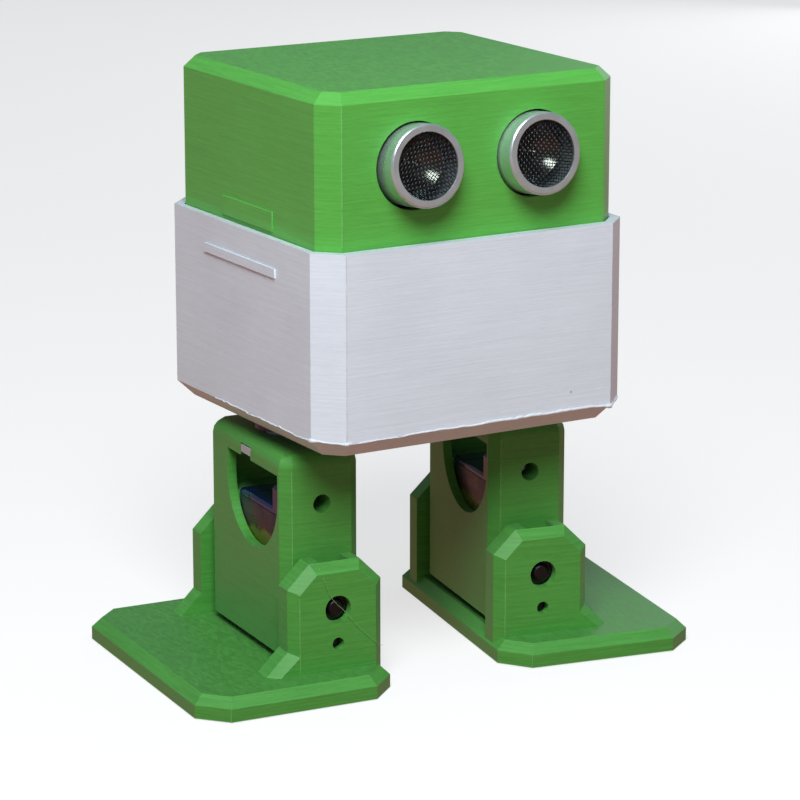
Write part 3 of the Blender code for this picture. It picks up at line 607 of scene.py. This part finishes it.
def rough_edge(look):
    """The ragged bead above the body's chamfered bottom edge."""
    low, high = (Vector(corner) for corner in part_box("body_shell"))
    ridge, chamfer, corner = 0.35 * MM, 3.2 * MM, 5.0 * MM
    left, right, front = low.x + ridge, high.x - ridge, low.y
    level = low.z + chamfer
    route = [Vector((left, front + 44 * MM, level)), Vector((left, front + corner, level)),
             Vector((left + corner, front, level)), Vector((right - corner, front, level)),
             Vector((right, front + corner, level))]
    nubs = route[1:4]
    points, radii = [], []
    for start, end in zip(route, route[1:]):
        steps = int((end - start).length / (0.33 * MM))
        for step in range(steps):
            spot = start.lerp(end, step / steps)
            wobble = mathutils.noise.noise(spot * 800)
            coarse = mathutils.noise.noise(spot * 170 + Vector((3, 1, 7)))
            on_front = max(0.0, min(1.0, (spot.x - left - 12 * MM) / (30 * MM)))
            radius = (0.15 + 0.13 * on_front + 0.12 * wobble + 0.12 * max(coarse, 0)) * MM
            for nub in nubs:
                radius += 0.26 * MM * math.exp(-((spot - nub).length / (0.9 * MM)) ** 2)
            shift = Vector((0.12 * wobble, 0.12 * coarse, 0.30 * coarse + 0.16 * wobble)) * MM
            points.append(spot + shift)
            radii.append(max(radius, 0.05 * MM))
    bm = bmesh.new()
    add_tube(bm, points, radii, 7)
    obj = piece("body_rough_edge", bm, "torso", look, 80)


def stance(side):
    """Frame of a leg and its foot: the hip's axis on the floor, turned with the leg."""
    hip = JOINTS[f"{side}_hip_yaw"]["pos_m"]
    axis = JOINTS[f"{side}_ankle_roll"]["axis"]
    return Matrix.Translation((hip[0], hip[1], 0)) @ Matrix.Rotation(math.atan2(axis[0], -axis[1]), 4, "Z")


def printing_marks(looks):
    """Seams and the rough edge of the shells, and a stray strand on the right foot."""
    low, high = (Vector(corner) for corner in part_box("body_shell"))
    edge = (low.x + 5.35 * MM, low.y)
    seam("body_seam", (*edge, low.z + 3.4 * MM), (*edge, high.z - 0.3 * MM), 0.13 * MM, "torso",
         looks["white_bead"])
    low, high = (Vector(corner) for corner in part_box("head_shell"))
    edge = (low.x + 0.3 * MM + 3.8 * MM, low.y)
    seam("head_seam", (*edge, low.z + 9 * MM), (*edge, high.z - 2.4 * MM), 0.12 * MM, "head",
         looks["green_bead"])
    rough_edge(looks["white_bead"])
    for side in ("right", "left"):
        base = stance(side)
        plate_x = -25.8 if side == "right" else -5.1
        for name, x, y, bottom, top, body in (
                ("leg_seam", -6.35, -17.95, 22.0, 43.6, "leg"),
                ("ear_seam", -8.15, -25.15, 4.8, 20.0, "foot"),
                ("plate_seam", plate_x, -32.15, 0.2, 2.6, "foot")):
            seam(f"{side}_{name}", base @ Vector((x * MM, y * MM, bottom * MM)),
                 base @ Vector((x * MM, y * MM, top * MM)), 0.12 * MM, f"{side}_{body}", looks["limb_bead_painted_shade"])
    base = stance("right")
    hair = smooth_path([base @ (Vector(p) * MM) for p in (
        (-3.6, -24.2, 25.4), (-3.0, -25.35, 23.2), (-1.5, -25.6, 19.4), (1.5, -25.6, 16.1),
        (4.8, -25.45, 12.2), (8.4, -25.3, 8.8), (9.9, -24.4, 7.9))], 8)
    bm = bmesh.new()
    add_tube(bm, hair, 0.038 * MM, 5)
    obj = piece("right_foot_stray_strand", bm, "right_foot", looks["strand"], 80)


# ---------------------------------------------------------------- servo labels

LABEL_FACE = 6.12 * MM              # just proud of the servo's case
LABEL_OUTER = 6.24 * MM


def servo_trim(looks):
    """Foil labels on both broad faces of each ankle servo."""
    for side in ("right", "left"):
        base = stance(side)
        bm = bmesh.new()
        for inner, outer in ((-LABEL_OUTER, -LABEL_FACE), (LABEL_FACE, LABEL_OUTER)):
            add_block(bm, (inner, -10.5 * MM, 12.0 * MM), (outer, 7.2 * MM, 32.6 * MM), base)
        label = piece(f"{side}_ankle_servo_label", bm, f"{side}_leg", looks["servo_label"])


# ---------------------------------------------------------------- boards and battery inside

PIN_PITCH = 2.54 * MM


def boards(looks):
    """Pins, pads, chips and capacitors on the boards, and the straps on the battery."""
    low, high = (Vector(corner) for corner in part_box("io_shield"))
    top = high.z
    pins, bases, caps = bmesh.new(), bmesh.new(), bmesh.new()
    for sign in (-1, 1):
        for row in range(3):
            x = sign * (13.5 * MM + PIN_PITCH * row)
            add_block(bases, (x - 1.2 * MM, low.y + 6 * MM, top),
                      (x + 1.2 * MM, high.y - 14 * MM, top + 2.5 * MM))
            for index in range(11):
                y = low.y + 7.4 * MM + PIN_PITCH * index
                add_block(pins, (x - 0.3 * MM, y - 0.3 * MM, top),
                          (x + 0.3 * MM, y + 0.3 * MM, top + 8.2 * MM))
    for x, y in ((-21, 16), (-14.5, 19.5)):
        add_rod(caps, (x * MM, y * MM), 2.5 * MM, top, top + 7.5 * MM)
    for name, bm, look in (("shield_pins", pins, "brass"), ("shield_pin_bases", bases, "black_plastic"),
                           ("shield_capacitors", caps, "sensor_cone")):
        piece(name, bm, "head", looks[look], 30)
    low, high = (Vector(corner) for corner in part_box("controller_board"))
    pads = bmesh.new()
    for sign in (-1, 1):
        for index in range(15):
            add_rod(pads, (sign * 7.6 * MM, low.y + 4.5 * MM + PIN_PITCH * index), 0.75 * MM,
                    low.z + 1.55 * MM, low.z + 2.0 * MM, 10)
    piece("controller_pads", pads, "head", looks["brass"], 30)
    low, high = (Vector(corner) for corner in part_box("sensor_board"))
    lean = Matrix.Translation((low + high) / 2) @ Matrix.Rotation(-EYE_TILT, 4, "X")
    chips = bmesh.new()
    for x, z, half in ((-6, 1, 2.2), (6.5, 2, 2.2), (0, 5, 1.6)):
        add_block(chips, ((x - half) * MM, 0.8 * MM, (z - half) * MM),
                  ((x + half) * MM, 2.2 * MM, (z + half) * MM), lean)
    piece("sensor_chips", chips, "head", looks["black_plastic"])
    low, high = (Vector(corner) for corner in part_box("battery_pack"))
    band = bmesh.new()
    middle = (low + high) / 2
    for sign in (-1, 1):
        x = middle.x + sign * 14 * MM
        add_block(band, (x - 4 * MM, low.y + 4 * MM, high.z - 0.05 * MM),
                  (x + 4 * MM, high.y - 4 * MM, high.z + 0.12 * MM))
    piece("battery_straps", band, "torso", looks["steel"])


camera()
studio()
LOOKS = build_materials()
dress_cad(LOOKS)
woven_mesh("right", math.radians(38), LOOKS["sensor_mesh"])
woven_mesh("left", math.radians(9), LOOKS["sensor_mesh"])
for eye in ("right", "left"):
    polished_dish(eye, LOOKS["sensor_cone"])
printing_marks(LOOKS)
servo_trim(LOOKS)
boards(LOOKS)
